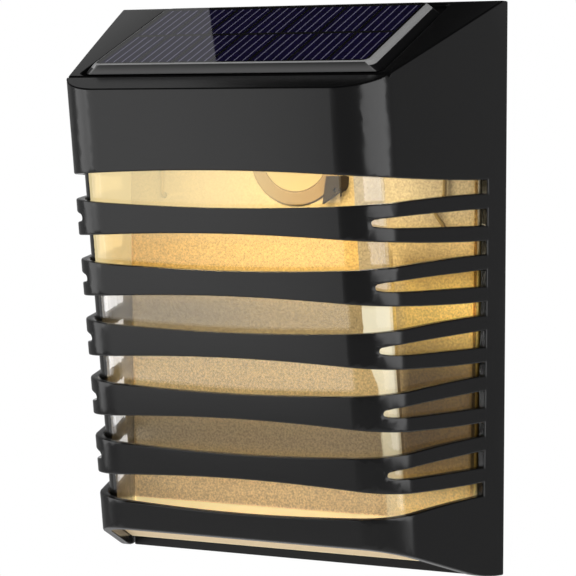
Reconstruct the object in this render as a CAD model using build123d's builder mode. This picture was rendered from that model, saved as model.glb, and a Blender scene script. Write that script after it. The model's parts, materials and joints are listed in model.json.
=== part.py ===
from build123d import *
import math
import os

# Solar wall light. Millimetres, +Z up, wall plane at Y = 0, the light stands out towards -Y.
# The origin is the middle of the back, on the wall. "Depth" is the distance from the wall.

# Body
height = 150.0
back_width = 112.0
front_margin = 0.7  # each side of the panel's recess, where the slanted sides would meet the front
depth_top = 65.3  # front of the body at the full height, before the top is sloped off
depth_bottom = 41.2  # front of the body at the lowest height, before the rim is slanted
corner_radius = 12.8
wall = 2.3
roof = 2.5
top_strip = 2.5  # flat strip along the top of the back
slope_angle = 21.2
rim_angle = 19.4
rim_toe_angle = 2.0  # slope of the rim where it meets the wall
rim_curve = 14.0  # depth over which the rim rounds off towards the wall

# Louvre gaps
gap_count = 6
first_gap_drop = 47.6  # middle of the first gap below the top
last_gap_rise = 24.05  # middle of the last gap above the bottom
gap_front_height = 9.2
gap_end_height = 3.45
slot_end_depth = 8.7  # where gaps and side slots stop, from the wall
slot_end_height = 4.3
slot_tip_radius = 0.8
slot_tip_angle = 38.0  # place of a side slot's tip round the corner, from the front
cut_margin = 3.0  # how far a cutter reaches past each face of the wall
front_steps = 6  # straight facets of a cut over half the front, a corner and a side
corner_steps = 4
side_steps = 5

# Solar panel on the slope
recess_start = 4.0  # along the slope, from its upper end at the wall
recess_depth = 1.0
recess_chamfer = 0.3
panel_width = 75.6  # of the panel's upper face
panel_length = 44.6
panel_front_gap = 1.6  # between the panel and its recess, at the front, back and sides
panel_back_gap = 5.4
panel_side_gap = 0.3
panel_corner = 2.0
panel_lean = 49.0  # of the panel's two sides, which widen towards its base
pad_thickness = 0.5
board_thickness = 1.6
cell_thickness = 0.2
cover_thickness = 1.0
cover_edge = 0.3
cell_columns = 7
cell_rows = 2
panel_border = 1.0
cell_gap = 0.9
row_gap = 1.6
lip_width = 0.7  # flat lip in front of the recess, and the groove across the slope in front of that
brow_bevel = 0.6
brow_floor = 0.5

# Rear cover and fixings
cover_plate = 3.0
cover_gap = 0.25
ear_size = 8.0
ear_reach = 4.0
ear_from_side = 9.5  # screw axis from the outer edge of the back
ear_drop = 15.0  # upper screws below the top
ear_rise = 12.0  # lower screws above the bottom
screw_radius = 1.25
screw_head_radius = 2.4
screw_head_height = 1.4
screw_gap = 0.2
thread_gap = 0.05
drive_slot_width = 0.7
drive_slot_depth = 0.6
keyhole_spacing = 56.0
keyhole_drop = 27.0  # keyhole entries below the top
keyhole_radius = 4.3
keyhole_slot_radius = 2.2
keyhole_rise = 7.0
keyhole_lip = 1.8
keyhole_pocket = 4.0
pocket_wall = 1.4

# Light chamber
fit_gap = 0.4  # between the lens and the housing
lens_wall = 1.6
lens_rise = 3.0  # lens bottom above the rim
lens_top_gap = 0.2  # between the lens and the tray above
reflector_thickness = 1.0
reflector_gap = 0.2
seal_thickness = 0.5
post_radius = 2.5
post_x = 30.0
post_drop = 73.0  # upper posts below the top
post_rise = 27.0  # lower posts above the bottom

# Tray that divides hood and light chamber
tray_thickness = 2.0
tray_drop = 37.0  # underside of the tray below the top
tray_back_gap = 0.3
tray_post_radius = 3.0
tray_post_x = 34.0
tray_post_depth = 26.0
tray_screw_length = 9.0
screw_end_gap = 0.5

# Switch in the rear cover
switch_drop = 40.0  # switch axis below the top
boss_radius = 13.2
boss_bore = 9.6
boss_proud = 0.7  # boss end in front of the reflector
thumb_radius = 7.5
thumb_depth = 1.6
button_radius = 4.0
button_gap = 0.15
button_recess = 0.5  # button face below the wall plane
button_travel = 1.2
flange_radius = 5.2
flange_thickness = 1.0
flange_gap = 0.2
stem_radius = 2.0
stem_length = 1.3
switch_size = 12.0
switch_corner = 0.8
switch_clearance = 0.2  # left between flange and switch when pressed
stem_gap = 0.2
cap_thickness = 0.9
seal_radius = 0.28
groove_width = 0.8
groove_depth = 0.6
clip_width = 5.4
clip_height = 7.4
clip_reach = 1.6
clip_drop = 5.2  # top of the clip below the switch axis
clip_lean = 1.0
clip_hole = 0.7

# Power and light
cell_radius = 7.1
cell_length = 49.0
nub_radius = 2.7
nub_length = 1.4
holder_wall = 1.5
holder_gap = 0.3
holder_depth = 15.0  # back of the holder, from the wall
holder_height = 12.0
spring_room = 4.5
contact_thickness = 0.4
contact_size = 8.0
spring_wire = 0.8
spring_taper = 10.0
control_length = 46.0
control_width = 14.0
control_thickness = 1.6
control_depth = 36.5
control_lift = 2.0
standoff_radius = 2.0
board_screw_radius = 0.9
board_screw_head = 1.7
board_screw_inset = 3.2
chip_size = (5.0, 4.0, 1.5)
chip_pins = 4
chip_pin_width = 0.4
chip_pin_reach = 1.0
component_x = 12.0
inductor_radius = 3.0
inductor_height = 4.2
inductor_flange = 0.8
inductor_waist = 2.2
capacitor_radius = 2.0
capacitor_height = 5.0
led_board_length = 44.0
led_board_width = 11.0
led_board_thickness = 1.2
led_board_depth = 26.0
led_count = 6
led_size = (3.0, 2.8, 0.8)

# Leads
lead_radius = 0.55
lead_gap = 0.35
lead_bend = 3.0  # largest bend radius
lead_front = 1.2  # lead's axis in front of the reflector
lead_right_x = 41.5
lead_right_kinks = ((41.5, 50.5), (38.2, 53.7), (41.5, 58.2))  # X and drop below the top, seen in the gaps
lead_right_drop = 60.4  # place where the lead goes back through the reflector
lead_left_x = -39.5
lead_left_drop = 51.0
lead_turn_x = 20.0
lead_rise = 3.4
panel_lead_inset = 8.0  # lead hole under the panel, from the panel's front
panel_lead_x = 0.9
panel_lead_drop = 6.0
panel_hole_radius = 2.2
panel_pad_x = 6.0
battery_pad_x = 17.0
led_lead_x = 3.0
led_pad_inset = 2.0
switch_pad_x = 21.0
switch_pad_inset = 2.5

# Worked-out places
z_top = height / 2
z_bottom = -height / 2
half_back = back_width / 2
panel_height = board_thickness + cell_thickness + cover_thickness
panel_flare = math.tan(math.radians(panel_lean))
recess_width = panel_width + 2 * (panel_height * panel_flare + panel_side_gap)
recess_length = panel_back_gap + panel_length + panel_front_gap
front_width = recess_width + 2 * front_margin
first_gap_z = z_top - first_gap_drop
gap_pitch = (first_gap_z - z_bottom - last_gap_rise) / (gap_count - 1)
tray_z = z_top - tray_drop
lens_top_z = tray_z - lens_top_gap
switch_z = z_top - switch_drop
keyhole_z = z_top - keyhole_drop
panel_front = recess_start + recess_length - panel_front_gap
panel_middle = panel_length / 2 - panel_front
board_lift = pad_thickness - recess_depth
cells_lift = board_lift + board_thickness
panel_top = board_lift + panel_height
panel_lead_run = panel_front - panel_lead_inset
slope_tan = math.tan(math.radians(slope_angle))
slope_cos = math.cos(math.radians(slope_angle))
slope_sin = math.sin(math.radians(slope_angle))
rim_tan = math.tan(math.radians(rim_angle))
rim_rise = rim_curve * math.tan(math.radians((rim_angle + rim_toe_angle) / 2))
beyond = 2 * depth_top  # safely past the front

ear_front = cover_plate + ear_reach
reflector_back = ear_front + reflector_gap
reflector_front = reflector_back + reflector_thickness
lens_back = reflector_front + seal_thickness
tray_top = tray_z + tray_thickness
ear_x = half_back - ear_from_side
boss_end = reflector_front + boss_proud
switch_front = boss_end - cap_thickness
flange_back = cover_plate + flange_gap
switch_back = flange_back + flange_thickness + button_travel + switch_clearance
stem_end = flange_back + flange_thickness + stem_length
lead_depth = reflector_front + lead_front
lead_back_depth = reflector_back - lead_radius - reflector_gap
holder_length = cell_length + nub_length + spring_room + 2 * contact_thickness + 2 * holder_wall
holder_width = 2 * (cell_radius + holder_gap + holder_wall)
holder_front = holder_depth + holder_width
holder_middle = holder_depth + holder_width / 2
cell_z = tray_top + holder_wall + holder_gap + cell_radius


def depth_at(z):
    """Depth of the outer front at height z."""
    return depth_bottom + (depth_top - depth_bottom) * (z - z_bottom) / height


def flare_at(z):
    """Angle of the sides to the depth direction at height z."""
    return math.atan((back_width - front_width) / 2 / depth_at(z))


def slope_z(depth):
    """Height of the sloped top at a depth."""
    return z_top - slope_tan * (depth - top_strip)


def rim_z(depth):
    """Height of the straight part of the slanted rim at a depth."""
    return z_bottom + rim_rise + rim_tan * (depth - rim_curve)


def half_width(z, depth, inset):
    """Half width inside the slanted sides at a height and depth, moved in by inset."""
    flare = flare_at(z)
    return half_back - depth * math.tan(flare) - inset / math.cos(flare)


def body_form(inset, profile):
    """Tapered body moved in by inset on sides and front, cut to a closed (Y, Z) profile."""
    with BuildPart() as form:
        for z in (z_bottom, z_top):
            front = depth_at(z) - inset
            back_x = half_width(z, -1, inset)
            front_x = half_width(z, front, inset)
            with BuildSketch(Plane.XY.offset(z)) as section:
                with BuildLine():
                    Polyline((-back_x, 1), (-front_x, -front), (front_x, -front), (back_x, 1), close=True)
                make_face()
                fillet(section.vertices().group_by(Axis.Y)[0], corner_radius - inset)
        loft(ruled=True)
        with BuildSketch(Plane.YZ):
            add(profile)
        extrude(amount=back_width, both=True, mode=Mode.INTERSECT)
    return form.part


def profile_face(*points):
    """Flat (Y, Z) profile through the given points."""
    with BuildSketch() as sketch:
        with BuildLine():
            Polyline(*points, close=True)
        make_face()
    return sketch.sketch


def station(z, run, reach=0.0):
    """Plane square to the outer outline at height z; run is the length from the front's middle.

    Its X axis points out of the wall and its origin lies reach outside the surface.
    """
    flare = flare_at(z)
    arc_y = -(depth_at(z) - corner_radius)
    arc_x = half_width(z, -arc_y, corner_radius)
    arc_length = corner_radius * (math.pi / 2 - flare)
    side = 1 if run >= 0 else -1
    run = abs(run)
    turn = min(max(run - arc_x, 0) / corner_radius, math.pi / 2 - flare)
    out = Vector(math.sin(turn), -math.cos(turn))
    point = Vector(min(run, arc_x), arc_y) + out * corner_radius
    if run > arc_x + arc_length:
        point += Vector(math.sin(flare), math.cos(flare)) * (run - arc_x - arc_length)
    point += out * reach
    return Plane(
        origin=(side * point.X, point.Y, z),
        x_dir=(side * out.X, out.Y, 0),
        z_dir=(-side * out.Y, out.X, 0),
    )


def outline_runs(z):
    """Lengths from the front's middle to the front tangent, the side tangent and the slot ends."""
    flare = flare_at(z)
    arc_depth = depth_at(z) - corner_radius
    arc_x = half_width(z, arc_depth, corner_radius)
    side_start = arc_x + corner_radius * (math.pi / 2 - flare)
    side_depth = arc_depth + corner_radius * math.sin(flare)
    return arc_x, side_start, side_start + (side_depth - slot_end_depth) / math.cos(flare)


def cut_band(z, runs_heights):
    """Solid that cuts the wall along the outline, with a height at each run."""
    width = wall + 2 * cut_margin
    with BuildPart() as band:
        for run, band_height in runs_heights:
            with BuildSketch(station(z, run, cut_margin - width / 2)):
                Rectangle(width, band_height)
        loft(ruled=True)
    return band.part


def spread(start, end, steps):
    """Evenly spaced values after start, up to end."""
    return [start + (end - start) * step / steps for step in range(1, steps + 1)]


def louvre_gap(z):
    """Cutter for one gap, tall in front and narrow at the ends of the sides."""
    front, side, end = outline_runs(z)
    half_runs = spread(0, front, front_steps) + spread(front, side, corner_steps)
    half_runs += spread(side, end, side_steps)
    runs = [-run for run in reversed(half_runs)] + [0] + half_runs
    fall = gap_front_height - gap_end_height
    heights = [gap_end_height + fall * (1 + math.cos(math.pi * run / end)) / 2 for run in runs]
    return cut_band(z, zip(runs, heights))


def side_slot(z):
    """Cutters for one pair of side slots: round tip on the corner, square end near the wall."""
    front, side, end = outline_runs(z)
    tip = front + corner_radius * math.radians(slot_tip_angle) + slot_tip_radius
    half_end = slot_end_height / 2
    runs = [tip] + spread(tip, side, corner_steps) + spread(side, end, side_steps)
    heights = [
        2 * (slot_tip_radius + (half_end - slot_tip_radius) * math.sqrt((run - tip) / (end - tip)))
        for run in runs
    ]
    tip_plane = station(z, tip, cut_margin)
    band = cut_band(z, zip(runs, heights))
    with BuildPart() as pair:
        add(band)
        with BuildSketch(Plane(origin=tip_plane.origin, z_dir=tip_plane.x_dir)):
            Circle(slot_tip_radius)
        extrude(amount=-(wall + 2 * cut_margin))
        mirror(about=Plane.YZ)
    return pair.part


def at_depth(depth):
    """Vertical plane at a depth, X to the right, Y up, facing the wall side's opposite (-Y)."""
    return Plane(origin=(0, -depth, 0), x_dir=(1, 0, 0), z_dir=(0, -1, 0))


def on_slope(lift):
    """Plane lifted from the sloped top; X to the right, Y up the slope, origin at its upper end."""
    return Plane(
        origin=(0, -lift * slope_sin, slope_z(0) + lift * slope_cos),
        x_dir=(1, 0, 0),
        z_dir=(0, -slope_sin, slope_cos),
    )


def panel_layer(*levels):
    """Layer of the panel with leaning sides, through levels that each have a lift and a step inwards."""
    with BuildPart() as layer:
        for lift, inset in levels:
            width = panel_width + 2 * (panel_top - lift) * panel_flare - 2 * inset
            with BuildSketch(on_slope(lift)):
                with Locations((0, panel_middle)):
                    RectangleRounded(width, panel_length - 2 * inset, panel_corner - inset)
        loft(ruled=True)
    return layer.part


def lead(*points):
    """Round wire along straight runs joined by arcs as large as the runs allow, up to lead_bend."""
    runs = [Vector(end) - Vector(start) for start, end in zip(points, points[1:])]
    bends = []
    for before, after in zip(runs, runs[1:]):
        half_turn = math.radians(before.get_angle(after) / 2)
        bends.append(min(lead_bend, 0.45 * min(before.length, after.length) / math.tan(half_turn)))
    with BuildPart() as wire:
        with BuildLine() as route:
            FilletPolyline(*points, radius=bends)
        with BuildSketch(Plane(origin=route.line @ 0, z_dir=route.line % 0)):
            Circle(lead_radius)
        sweep(path=route.line)
    return wire.part


def keep(builder, label):
    """Names a finished piece and writes it."""
    builder.part.label = label
    export_step(builder.part, f"parts/{label}.step")


os.makedirs("parts", exist_ok=True)

# Housing outline seen from the side, with the slanted rim
with BuildSketch() as outer_profile:
    with BuildLine():
        Line((0, z_top), (-top_strip, z_top))
        Line((-top_strip, z_top), (-beyond, slope_z(beyond)))
        Line((-beyond, slope_z(beyond)), (-beyond, rim_z(beyond)))
        Line((-beyond, rim_z(beyond)), (-rim_curve, rim_z(rim_curve)))
        TangentArc((-rim_curve, rim_z(rim_curve)), (0, z_bottom), tangent=(1, -rim_tan))
        Line((0, z_bottom), (0, z_top))
    make_face()

roof_drop = roof / slope_cos
roof_knee = top_strip - (roof_drop - roof) / slope_tan
cavity_profile = profile_face(
    (1, z_bottom - 1),
    (1, z_top - roof),
    (-roof_knee, z_top - roof),
    (-beyond, slope_z(beyond) - roof_drop),
    (-beyond, z_bottom - 1),
)

# Front housing
ear_places = [(side * ear_x, z) for side in (-1, 1) for z in (z_bottom + ear_rise, z_top - ear_drop)]
tray_posts = [(side * tray_post_x, -tray_post_depth) for side in (-1, 1)]

hollow = body_form(wall, cavity_profile)
with BuildPart() as cavity:
    add(hollow)
    with BuildSketch(at_depth(cover_plate)):
        with Locations(*ear_places):
            Rectangle(ear_size, ear_size)
        for x, z in ear_places:
            with Locations((x + math.copysign(ear_size / 2, x), z)):
                Rectangle(ear_size, ear_size)
    extrude(amount=ear_reach, mode=Mode.SUBTRACT)
    with BuildSketch(Plane.XY.offset(tray_top)):
        with Locations(*tray_posts):
            Circle(tray_post_radius)
    extrude(amount=height, mode=Mode.SUBTRACT)

recess_middle = -(recess_start + recess_length / 2)
brow_groove = recess_start + recess_length + lip_width
brow_end = brow_groove + brow_bevel + brow_floor
shell = body_form(0, outer_profile.sketch)
gap_cuts = [louvre_gap(first_gap_z - index * gap_pitch) for index in range(gap_count)]
slot_cuts = [side_slot(first_gap_z - (index + 0.5) * gap_pitch) for index in range(gap_count - 1)]
with BuildPart() as front_housing:
    add(shell)
    add(cavity.part, mode=Mode.SUBTRACT)
    with BuildSketch(on_slope(-recess_depth)):
        with Locations((0, recess_middle)):
            RectangleRounded(recess_width, recess_length, panel_corner)
    extrude(amount=2 * recess_depth, mode=Mode.SUBTRACT)
    with BuildSketch(on_slope(0)):
        with Locations((0, recess_middle)):
            RectangleRounded(
                recess_width + 2 * recess_chamfer,
                recess_length + 2 * recess_chamfer,
                panel_corner + recess_chamfer,
            )
    extrude(amount=-recess_chamfer, taper=45, mode=Mode.SUBTRACT)
    with BuildSketch(Plane(origin=on_slope(0).origin, x_dir=-on_slope(0).y_dir, z_dir=(-1, 0, 0))):
        with BuildLine():
            Polyline(
                (brow_groove, 0),
                (brow_groove + brow_bevel, -brow_bevel),
                (brow_end, -brow_bevel),
                (brow_end, roof),
                (brow_groove, roof),
                close=True,
            )
        make_face()
    extrude(amount=half_back, both=True, mode=Mode.SUBTRACT)
    add(gap_cuts + slot_cuts, mode=Mode.SUBTRACT)
    with BuildSketch(at_depth(cover_plate)):
        with Locations(*ear_places):
            Circle(screw_radius + thread_gap)
    extrude(amount=ear_reach, mode=Mode.SUBTRACT)
    with BuildSketch(Plane.XY.offset(tray_top)):
        with Locations(*tray_posts):
            Circle(screw_radius + thread_gap)
    extrude(amount=tray_screw_length - tray_thickness + screw_end_gap, mode=Mode.SUBTRACT)
    with BuildSketch(on_slope(0)):
        with Locations((0, -panel_lead_run)):
            Circle(panel_hole_radius)
    extrude(amount=-2 * roof, mode=Mode.SUBTRACT)
keep(front_housing, "front_housing")

# Rear cover: back plate, reflector posts, switch boss and closed keyhole pockets
cover_top = slope_z(cover_plate) - roof / slope_cos - cover_gap
posts = [(side * post_x, z) for side in (-1, 1) for z in (z_bottom + post_rise, z_top - post_drop)]
keyholes = [(side * keyhole_spacing / 2, keyhole_z) for side in (-1, 1)]
keyhole_slots = [(x, z + keyhole_rise / 2) for x, z in keyholes]
button_hole = button_radius + button_gap
groove_start = (thumb_depth + cover_plate - groove_width) / 2

plate = body_form(
    wall + cover_gap,
    profile_face((0, z_bottom), (0, cover_top), (-cover_plate, cover_top), (-cover_plate, z_bottom)),
)
with BuildPart() as rear_cover:
    add(plate)
    with BuildSketch(at_depth(cover_plate)):
        with Locations(*posts):
            Circle(post_radius)
    extrude(amount=reflector_back - cover_plate)
    with BuildSketch(at_depth(cover_plate)):
        with Locations((0, switch_z)):
            Circle(boss_radius)
            Circle(boss_bore, mode=Mode.SUBTRACT)
    extrude(amount=boss_end - cover_plate)
    with BuildSketch(at_depth(cover_plate)):
        with Locations(*keyhole_slots):
            SlotCenterToCenter(keyhole_rise, 2 * (keyhole_radius + pocket_wall), rotation=90)
    extrude(amount=keyhole_lip + keyhole_pocket + pocket_wall - cover_plate)
    with BuildSketch(at_depth(keyhole_lip)):
        with Locations(*keyhole_slots):
            SlotCenterToCenter(keyhole_rise, 2 * keyhole_radius, rotation=90)
    extrude(amount=keyhole_pocket, mode=Mode.SUBTRACT)
    with BuildSketch(at_depth(0)):
        with Locations(*keyhole_slots):
            SlotCenterToCenter(keyhole_rise, 2 * keyhole_slot_radius, rotation=90)
        with Locations(*keyholes):
            Circle(keyhole_radius)
    extrude(amount=keyhole_lip, mode=Mode.SUBTRACT)
    with BuildSketch(at_depth(0)):
        with Locations(*ear_places):
            Circle(screw_radius + screw_gap)
    extrude(amount=cover_plate, mode=Mode.SUBTRACT)
    with BuildSketch(at_depth(0)):
        with Locations(*ear_places):
            Circle(screw_head_radius + screw_gap)
    extrude(amount=screw_head_height + screw_gap, mode=Mode.SUBTRACT)
    for start, end, radius in (
        (0, thumb_depth, thumb_radius),
        (0, cover_plate, button_hole),
        (groove_start, groove_start + groove_width, button_hole + groove_depth),
    ):
        with BuildSketch(at_depth(start)):
            with Locations((0, switch_z)):
                Circle(radius)
        extrude(amount=end - start, mode=Mode.SUBTRACT)
    with BuildSketch(Plane.YZ):
        with Locations((-lead_back_depth, switch_z)):
            Circle(lead_radius + lead_gap)
    extrude(amount=boss_radius, both=True, mode=Mode.SUBTRACT)
keep(rear_cover, "rear_cover")

with BuildPart() as case_screws:
    with BuildSketch(at_depth(screw_gap)):
        with Locations(*ear_places):
            Circle(screw_head_radius)
    extrude(amount=screw_head_height)
    with BuildSketch(at_depth(screw_gap + screw_head_height)):
        with Locations(*ear_places):
            Circle(screw_radius)
    extrude(amount=ear_front - 2 * screw_gap - screw_head_height)
    with BuildSketch(at_depth(screw_gap)):
        with Locations(*ear_places):
            Rectangle(2 * screw_radius, drive_slot_width)
            Rectangle(drive_slot_width, 2 * screw_radius)
    extrude(amount=drive_slot_depth, mode=Mode.SUBTRACT)
keep(case_screws, "case_screws")

# Switch: body and cap in the boss, button in the thumb recess behind
with BuildPart() as switch_body:
    with BuildSketch(at_depth(switch_back)):
        with Locations((0, switch_z)):
            RectangleRounded(switch_size, switch_size, switch_corner)
    extrude(amount=switch_front - switch_back)
    with BuildSketch(at_depth(switch_back)):
        with Locations((0, switch_z)):
            Circle(stem_radius + stem_gap)
    extrude(amount=stem_end + button_travel + stem_gap - switch_back, mode=Mode.SUBTRACT)
keep(switch_body, "switch_body")

with BuildPart() as switch_cap:
    with BuildSketch(at_depth(switch_front)):
        with Locations((0, switch_z)):
            Circle(boss_bore - thread_gap)
    extrude(amount=cap_thickness)
    fillet(switch_cap.edges().group_by(Axis.Y)[0], cap_thickness / 3)
keep(switch_cap, "switch_cap")

with BuildPart() as switch_button:
    for start, end, radius in (
        (button_recess, flange_back, button_radius),
        (flange_back, flange_back + flange_thickness, flange_radius),
        (flange_back + flange_thickness, stem_end, stem_radius),
    ):
        with BuildSketch(at_depth(start)):
            with Locations((0, switch_z)):
                Circle(radius)
        extrude(amount=end - start)
    fillet(switch_button.edges().group_by(Axis.Y)[-1], button_recess)
keep(switch_button, "switch_button")

with BuildPart() as button_seal:
    with Locations(Plane(origin=(0, -groove_start - groove_width / 2, switch_z), z_dir=(0, -1, 0))):
        Torus(button_hole + groove_depth / 2, seal_radius)
keep(button_seal, "button_seal")

# Clip over the edge of the boss
clip_x = boss_bore + thread_gap
clip_z = switch_z - clip_drop
with BuildPart() as switch_clip:
    with BuildSketch(at_depth(boss_end)):
        with BuildLine():
            Polyline(
                (clip_x, clip_z),
                (clip_x + clip_width, clip_z),
                (clip_x + clip_width - clip_lean, clip_z - clip_height / 2),
                (clip_x - clip_lean, clip_z - clip_height),
                close=True,
            )
        make_face()
        with Locations((clip_x + clip_width / 2, clip_z - clip_height / 2)):
            Circle(clip_hole, mode=Mode.SUBTRACT)
    extrude(amount=clip_reach)
keep(switch_clip, "switch_clip")


# Light chamber: lens tub, its seal and the reflector behind
def lens_z(depth):
    """Height of the lens bottom's outer face at a depth."""
    return rim_z(depth) + lens_rise


def lens_shell(back, front):
    """Lens wall and bottom between two depths."""
    floor = lens_wall / math.cos(math.radians(rim_angle))
    outside = profile_face(
        (-back, lens_z(back)),
        (-back, lens_top_z),
        (-front, lens_top_z),
        (-front, lens_z(front)),
    )
    inside = profile_face(
        (1 - back, lens_z(back - 1) + floor),
        (1 - back, lens_top_z + 1),
        (-1 - front, lens_top_z + 1),
        (-1 - front, lens_z(front + 1) + floor),
    )
    outer_form = body_form(wall + fit_gap, outside)
    inner_form = body_form(wall + fit_gap + lens_wall, inside)
    with BuildPart() as tub:
        add(outer_form)
        add(inner_form, mode=Mode.SUBTRACT)
    return tub


lens = lens_shell(lens_back, beyond)
keep(lens, "lens")

lens_seal = lens_shell(reflector_front, lens_back)
keep(lens_seal, "lens_seal")

reflector_low = lens_z(reflector_front)
film_plate = body_form(
    wall + fit_gap,
    profile_face(
        (-reflector_back, reflector_low),
        (-reflector_back, lens_top_z),
        (-reflector_front, lens_top_z),
        (-reflector_front, reflector_low),
    ),
)
lead_holes = [(lead_right_x, z_top - lead_right_drop), (lead_left_x, z_top - lead_left_drop)]
with BuildPart() as reflector:
    add(film_plate)
    with BuildSketch(at_depth(reflector_back)):
        with Locations((0, switch_z)):
            Circle(boss_radius + screw_gap)
        with Locations(*lead_holes):
            Circle(lead_radius + lead_gap)
    extrude(amount=reflector_thickness, mode=Mode.SUBTRACT)
keep(reflector, "reflector")

# Tray over the light chamber, with the lights under it and the power above it
control_middle = control_depth + control_width / 2
board_screw_x = control_length / 2 - board_screw_inset
standoffs = [(side * board_screw_x, -control_middle) for side in (-1, 1)]
board_low = tray_top + control_lift
board_top = board_low + control_thickness
tray_back = cover_plate + tray_back_gap
led_lead_depth = (holder_front + control_depth) / 2
tray_plate = body_form(
    wall + fit_gap,
    profile_face((-tray_back, tray_z), (-tray_back, tray_top), (-beyond, tray_top), (-beyond, tray_z)),
)
with BuildPart() as tray:
    add(tray_plate)
    with BuildSketch(Plane.XY.offset(tray_top)):
        with Locations(*standoffs):
            Circle(standoff_radius)
    extrude(amount=control_lift)
    with BuildSketch(Plane.XY.offset(tray_z)):
        with Locations((0, -boss_end / 2)):
            Rectangle(2 * (boss_radius + fit_gap), boss_end + 2 * fit_gap)
        with Locations((lead_right_x, -lead_depth), (lead_left_x, -lead_depth)):
            Circle(lead_radius + lead_gap)
        with Locations(*tray_posts):
            Circle(screw_radius + screw_gap)
        with Locations((0, -led_lead_depth)):
            SlotOverall(2 * led_lead_x + 4 * lead_radius, 2 * (lead_radius + lead_gap))
    extrude(amount=tray_thickness, mode=Mode.SUBTRACT)
    with BuildSketch(Plane.XY.offset(tray_top)):
        with Locations(*standoffs):
            Circle(board_screw_radius + thread_gap)
    extrude(amount=control_lift, mode=Mode.SUBTRACT)
keep(tray, "tray")

with BuildPart() as tray_screws:
    with BuildSketch(Plane.XY.offset(tray_z - screw_head_height)):
        with Locations(*tray_posts):
            Circle(screw_head_radius)
    extrude(amount=screw_head_height)
    with BuildSketch(Plane.XY.offset(tray_z)):
        with Locations(*tray_posts):
            Circle(screw_radius)
    extrude(amount=tray_screw_length)
    with BuildSketch(Plane.XY.offset(tray_z - screw_head_height)):
        with Locations(*tray_posts):
            Rectangle(2 * screw_radius, drive_slot_width)
            Rectangle(drive_slot_width, 2 * screw_radius)
    extrude(amount=drive_slot_depth, mode=Mode.SUBTRACT)
keep(tray_screws, "tray_screws")

led_low = tray_z - led_board_thickness
with BuildPart() as led_board:
    with BuildSketch(Plane.XY.offset(led_low)):
        with Locations((0, -led_board_depth)):
            RectangleRounded(led_board_length, led_board_width, screw_radius)
    extrude(amount=led_board_thickness)
keep(led_board, "led_board")

with BuildPart() as leds:
    with BuildSketch(Plane.XY.offset(led_low - led_size[2])):
        with Locations((0, -led_board_depth)):
            with GridLocations(led_board_length / led_count, 1, led_count, 1):
                Rectangle(led_size[0], led_size[1])
    extrude(amount=led_size[2])
keep(leds, "leds")

# Battery cell in its open holder, axis along X
with BuildPart() as battery_holder:
    with BuildSketch(Plane.XY.offset(tray_top)):
        with Locations((0, -holder_middle)):
            Rectangle(holder_length, holder_width)
    extrude(amount=holder_height)
    with BuildSketch(Plane.YZ):
        with Locations((-holder_middle, cell_z)):
            Circle(cell_radius + holder_gap)
            with Locations((0, holder_height / 2)):
                Rectangle(2 * (cell_radius + holder_gap), holder_height)
    extrude(amount=holder_length / 2 - holder_wall, both=True, mode=Mode.SUBTRACT)
keep(battery_holder, "battery_holder")

cell_start = holder_wall + contact_thickness + spring_room - holder_length / 2
with BuildPart() as battery_cell:
    with BuildSketch(Plane.YZ.offset(cell_start)):
        with Locations((-holder_middle, cell_z)):
            Circle(cell_radius)
    extrude(amount=cell_length)
    fillet(battery_cell.edges(), contact_thickness)
    with BuildSketch(Plane.YZ.offset(cell_start + cell_length)):
        with Locations((-holder_middle, cell_z)):
            Circle(nub_radius)
    extrude(amount=nub_length)
keep(battery_cell, "battery_cell")

with BuildPart() as battery_contact:
    with BuildSketch(Plane.YZ.offset(holder_length / 2 - holder_wall - contact_thickness)):
        with Locations((-holder_middle, cell_z)):
            Rectangle(contact_size, contact_size)
    extrude(amount=contact_thickness)
keep(battery_contact, "battery_contact")

with BuildPart() as battery_spring:
    with BuildSketch(Plane.YZ.offset(holder_wall - holder_length / 2)):
        with Locations((-holder_middle, cell_z)):
            Rectangle(contact_size, contact_size)
    extrude(amount=contact_thickness)
    spring_base = Plane.YZ.offset(holder_wall - holder_length / 2 + contact_thickness)
    for radius, mode in ((contact_size / 2, Mode.ADD), (contact_size / 2 - spring_wire, Mode.SUBTRACT)):
        with BuildSketch(spring_base):
            with Locations((-holder_middle, cell_z)):
                Circle(radius)
        extrude(amount=spring_room, taper=spring_taper, mode=mode)
keep(battery_spring, "battery_spring")

# Control board and its components
with BuildPart() as control_board:
    with BuildSketch(Plane.XY.offset(board_low)):
        with Locations((0, -control_middle)):
            Rectangle(control_length, control_width)
        with Locations(*standoffs):
            Circle(board_screw_radius + thread_gap, mode=Mode.SUBTRACT)
    extrude(amount=control_thickness)
keep(control_board, "control_board")

with BuildPart() as board_screws:
    with BuildSketch(Plane.XY.offset(tray_top)):
        with Locations(*standoffs):
            Circle(board_screw_radius)
    extrude(amount=control_lift + control_thickness)
    with BuildSketch(Plane.XY.offset(board_top)):
        with Locations(*standoffs):
            Circle(board_screw_head)
    extrude(amount=board_screw_radius)
keep(board_screws, "board_screws")

with BuildPart() as control_chip:
    with BuildSketch(Plane.XY.offset(board_top)):
        with Locations((0, -control_middle)):
            Rectangle(chip_size[0], chip_size[1])
    extrude(amount=chip_size[2])
    with BuildSketch(Plane.XY.offset(board_top)):
        with Locations((0, -control_middle)):
            with GridLocations(chip_size[0] / chip_pins, 1, chip_pins, 1):
                Rectangle(chip_pin_width, chip_size[1] + 2 * chip_pin_reach)
    extrude(amount=chip_pin_width)
keep(control_chip, "control_chip")

with BuildPart() as inductor:
    with BuildSketch(Plane.XY.offset(board_top)):
        with Locations((-component_x, -control_middle)):
            Circle(inductor_radius)
    extrude(amount=inductor_height)
    with BuildSketch(Plane.XY.offset(board_top + inductor_flange)):
        with Locations((-component_x, -control_middle)):
            Circle(inductor_radius)
            Circle(inductor_waist, mode=Mode.SUBTRACT)
    extrude(amount=inductor_height - 2 * inductor_flange, mode=Mode.SUBTRACT)
keep(inductor, "inductor")

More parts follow.
